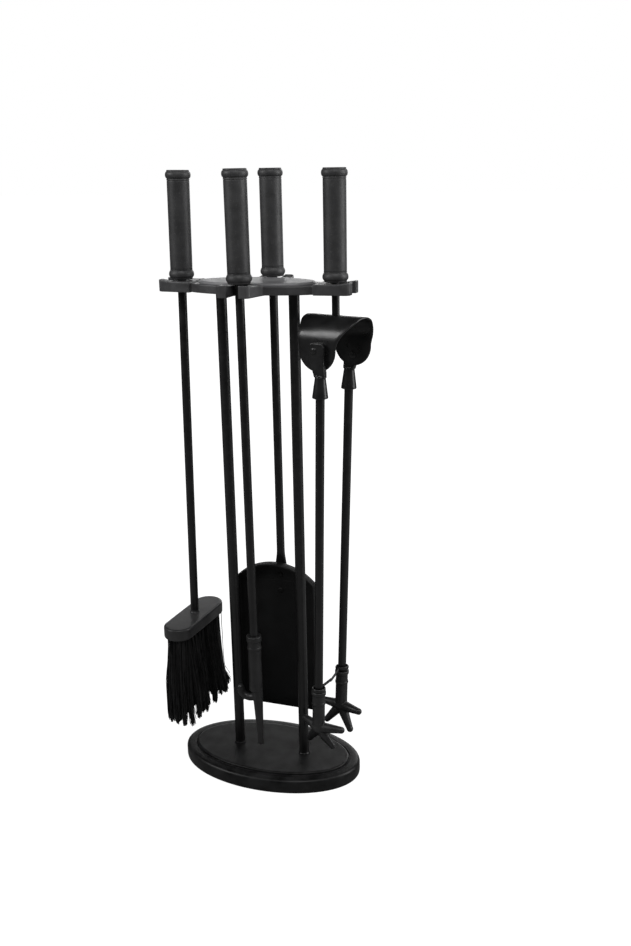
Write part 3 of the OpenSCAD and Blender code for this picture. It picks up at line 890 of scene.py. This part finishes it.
def nut_shape(low):
    """A six-sided nut with turned-down corners."""
    profile = [
        (5, low), (7.3, low, 0.4), (8, low + 0.8, 0.4), (8, low + 7.2, 0.4), (7.3, low + 8, 0.4),
        (5, low + 8),
    ]
    rings = []
    for r, z in rounded(profile):
        ring = []
        for angle in np.linspace(0, 2 * math.pi, 36, endpoint=False):
            flat = math.cos(math.pi / 6) / math.cos((angle % (math.pi / 3)) - math.pi / 6)
            reach = r * min(1.0, flat * 1.02)
            ring.append((reach * math.cos(angle), reach * math.sin(angle), z))
        rings.append(np.array(ring))
    return loft(rings)


def frame_point(axes, x, y, z):
    return axes @ (Vector((x, y, z)) * MM)


def make_tongs():
    rod("tongs_rod_bar", BAND_TOP - 12, TONGS_ROD_TOP, TONGS_ROD_R, TONGS, "tongs", "tongs_rod")
    nut = new_object("tongs_nut_hex", nut_shape(BAND_TOP - BAND_WALL - 9.5), TONGS, 25)
    show(nut, "tongs", "band", "band", "tongs_nut")

    profile = [
        (1.2, -1.5), (4.3, -1.5), (4.3, 0.1, 0.1), (3.9, 0.9, 0.5), (2.5, 1.8, 0.9), (0.7, 2.0),
    ]
    for side, name in SIDES.items():
        body = name + "_arm"
        band = new_object(name + "_band_leg", band_half(side), TONGS, 45)
        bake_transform(band)
        show(band, None, "band", "band", *(["tongs_band"] if side < 0 else []))

        show(softened(name + "_tongue", 0.5, 4, 0.15), body, "band", "band", name + "_tongue")
        arm = arm_axes(side)
        rod(name + "_arm_bar", SOCKET_TOP - 18, BAND_FOOT - 12, ARM_R, arm, body, name + "_rod")
        show(softened(name + "_claw", 0.6, 4, 0.3), body, "heads", "heads", name + "_claw")

        heads = []
        rivet_x, rivet_z = RIVET_PLACE[side]
        for start, way in ((TONGUE_WALL + 0.1, 1), (-BAND_WALL - 0.1, -1)):
            head = laid_along_y(lathe(profile, 32), rivet_x, side * start, rivet_z, side * way)
            heads.append(head)
        rivet = new_object(name + "_rivet_heads", joined(*heads), arm_axes(side, 0))
        show(rivet, body, "band", "band", name + "_rivet")
    make_tie()


def strap(path, width, thickness, count=16, closed=False):
    """A flat strap along a path that lies mostly level: width is its height along Z."""
    points, faces = tube(path, 1, count, closed)
    path = np.repeat(np.array(path, float), count, axis=0)
    offset = points - path
    offset[:, :2] *= thickness / 2
    offset[:, 2] *= width / 2
    return path + offset, faces


def make_tie():
    """A strap looped round both arms, in two halves that meet midway."""
    ring_z = SOCKET_TOP + 2.6
    middle = sum((frame_point(arm_axes(side), 0, 0, ring_z) for side in SIDES), Vector()) / 2 / MM
    for side, name in SIDES.items():
        arm = arm_axes(side)
        angles = np.linspace(0, 2 * math.pi, 56, endpoint=False)
        tilt, lift = (1.3, 1.4) if side > 0 else (0.3, 0.0)
        loop = np.stack([7.6 * np.cos(angles), 7.7 * np.sin(angles),
                         ring_z + lift + tilt * np.cos(angles + 0.6)], 1)
        points, faces = strap(loop, 5.0, 2.4, closed=True)
        ring_shape = (place_points(points, arm) / MM, faces)
        start = np.array(frame_point(arm, 0, -side * 7.4, ring_z + lift)) / MM
        way = np.array(middle) - start
        link = [start + way * t - np.array([0, 0, 1.8 * math.sin(math.pi / 2 * t) ** 2 + lift * t])
                for t in np.linspace(0, 1, 14)]
        tie = new_object(name + "_tie_loop", joined(ring_shape, strap(link, 4.2, 2.4)))
        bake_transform(tie)
        show(tie, None, "tie", "tie", *(["claw_tie"] if side < 0 else []))


make_camera()
make_stage()
make_stand()
make_grips()
make_brush()
make_poker()
make_shovel()
make_tongs()
